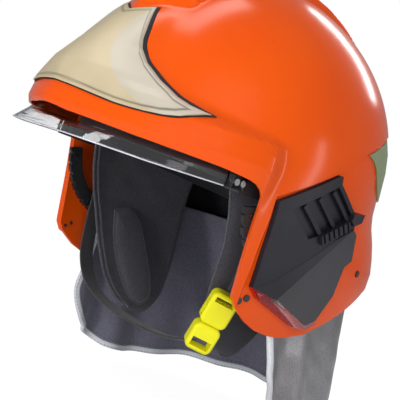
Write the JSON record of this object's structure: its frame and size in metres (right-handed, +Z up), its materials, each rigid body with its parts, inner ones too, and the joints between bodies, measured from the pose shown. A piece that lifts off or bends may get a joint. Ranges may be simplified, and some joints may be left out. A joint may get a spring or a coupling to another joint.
{
  "type": "jet style fire helmet",
  "caption": "Jet style fire helmet with a comb, front plate, stowed clear face shield, side lamps, padded adjustable headband, quick buckle chin strap and neck curtain.",
  "frame": {"origin": "middle of the wearer's head at brow height", "axes": "+X to the wearer's left, -Y to the front, +Z up"},
  "size_m": [0.2484, 0.3375, 0.3335],
  "materials": {
    "shell_orange": "glossy",
    "plate_champagne": "satin",
    "gasket_black": "matt",
    "reflector_green": "satin",
    "holder_charcoal": "satin",
    "lamp_charcoal": "satin",
    "lens_clear": "polished",
    "lamp_red": "glossy",
    "stud_black": "satin",
    "shield_clear": "polished",
    "arm_dark": "satin",
    "metal_bright": "satin",
    "guide_black": "matt",
    "foam_dark": "matt",
    "band_black": "satin",
    "web_black": "woven",
    "pad_textile": "matt",
    "liner_grey": "matt",
    "curtain_silver": "satin",
    "lining_dark": "matt",
    "binding_pale": "matt",
    "buckle_yellow": "satin"
  },
  "bodies": {
    "helmet": {"outer_shell": "shell_orange", "front_plate": "plate_champagne", "front_plate_gasket": "gasket_black", "rear_reflector": "reflector_green", "side_plate_left": "holder_charcoal", "side_plate_right": "holder_charcoal", "lamp_body_left": "lamp_charcoal", "lamp_body_right": "lamp_charcoal", "lamp_lens_left": "lens_clear", "lamp_lens_right": "lens_clear", "lamp_reflector_left": "lamp_red", "lamp_reflector_right": "lamp_red", "curtain_studs": "stud_black", "pivot_pins": "metal_bright", "shield_guide_left": "guide_black", "shield_guide_right": "guide_black", "guide_screws": "metal_bright", "inner_cap": "foam_dark", "headband": "band_black", "ratchet_housing": "band_black", "crown_strap_across": "web_black", "crown_strap_along": "web_black", "crown_pad": "pad_textile", "brow_pad": "pad_textile", "ear_liner_left": "liner_grey", "ear_liner_right": "liner_grey", "ear_pad_left": "liner_grey", "ear_pad_right": "liner_grey", "neck_curtain": "curtain_silver", "curtain_lining": "lining_dark", "curtain_binding": "binding_pale", "curtain_rail": "guide_black", "buckle_socket": "buckle_yellow", "chin_strap_left": "web_black", "chin_strap_right": "web_black"},
    "shield": {"face_shield": "shield_clear", "shield_arm_left": "arm_dark", "shield_arm_right": "arm_dark", "shield_rivets": "metal_bright"},
    "latch_left": {"side_latch_left": "holder_charcoal"},
    "latch_right": {"side_latch_right": "holder_charcoal"},
    "knob": {"ratchet_knob": "band_black"},
    "rack_l": {"rack_left": "band_black"},
    "rack_r": {"rack_right": "band_black"},
    "tongue": {"buckle_tongue": "buckle_yellow"}
  },
  "joints": [
    {"name": "shield_turn", "type": "hinge", "parent": "helmet", "child": "shield", "pos_m": [0, 0.008, -0.01], "axis": [1, 0, 0], "range_deg": [0, 37]},
    {"name": "latch_left_slide", "type": "slide", "parent": "helmet", "child": "latch_left", "axis": [0, -0.8422, -0.5391], "range_m": [0, 0.004], "stiffness_N_per_m": 200},
    {"name": "latch_right_slide", "type": "slide", "parent": "helmet", "child": "latch_right", "axis": [0, -0.8422, -0.5391], "range_m": [0, 0.004], "stiffness_N_per_m": 200},
    {"name": "knob_turn", "type": "hinge", "parent": "helmet", "child": "knob", "pos_m": [0, 0.095, -0.014], "axis": [0, -1, 0], "range_deg": [0, 190]},
    {"name": "rack_left_slide", "type": "slide", "parent": "helmet", "child": "rack_l", "axis": [-1, 0, 0], "range_m": [0, 0.008]},
    {"name": "rack_right_slide", "type": "slide", "parent": "helmet", "child": "rack_r", "axis": [1, 0, 0], "range_m": [0, 0.008]},
    {"name": "tongue_slide", "type": "slide", "parent": "helmet", "child": "tongue", "axis": [-0.2908, -0.0415, -0.9559], "range_m": [0, 0.022], "deforming": ["chin_strap_right"]}
  ],
  "couplings": [
    {"joint": "rack_left_slide", "follows": "knob_turn", "m_per_rad": 0.0024},
    {"joint": "rack_right_slide", "follows": "knob_turn", "m_per_rad": 0.0024}
  ]
}
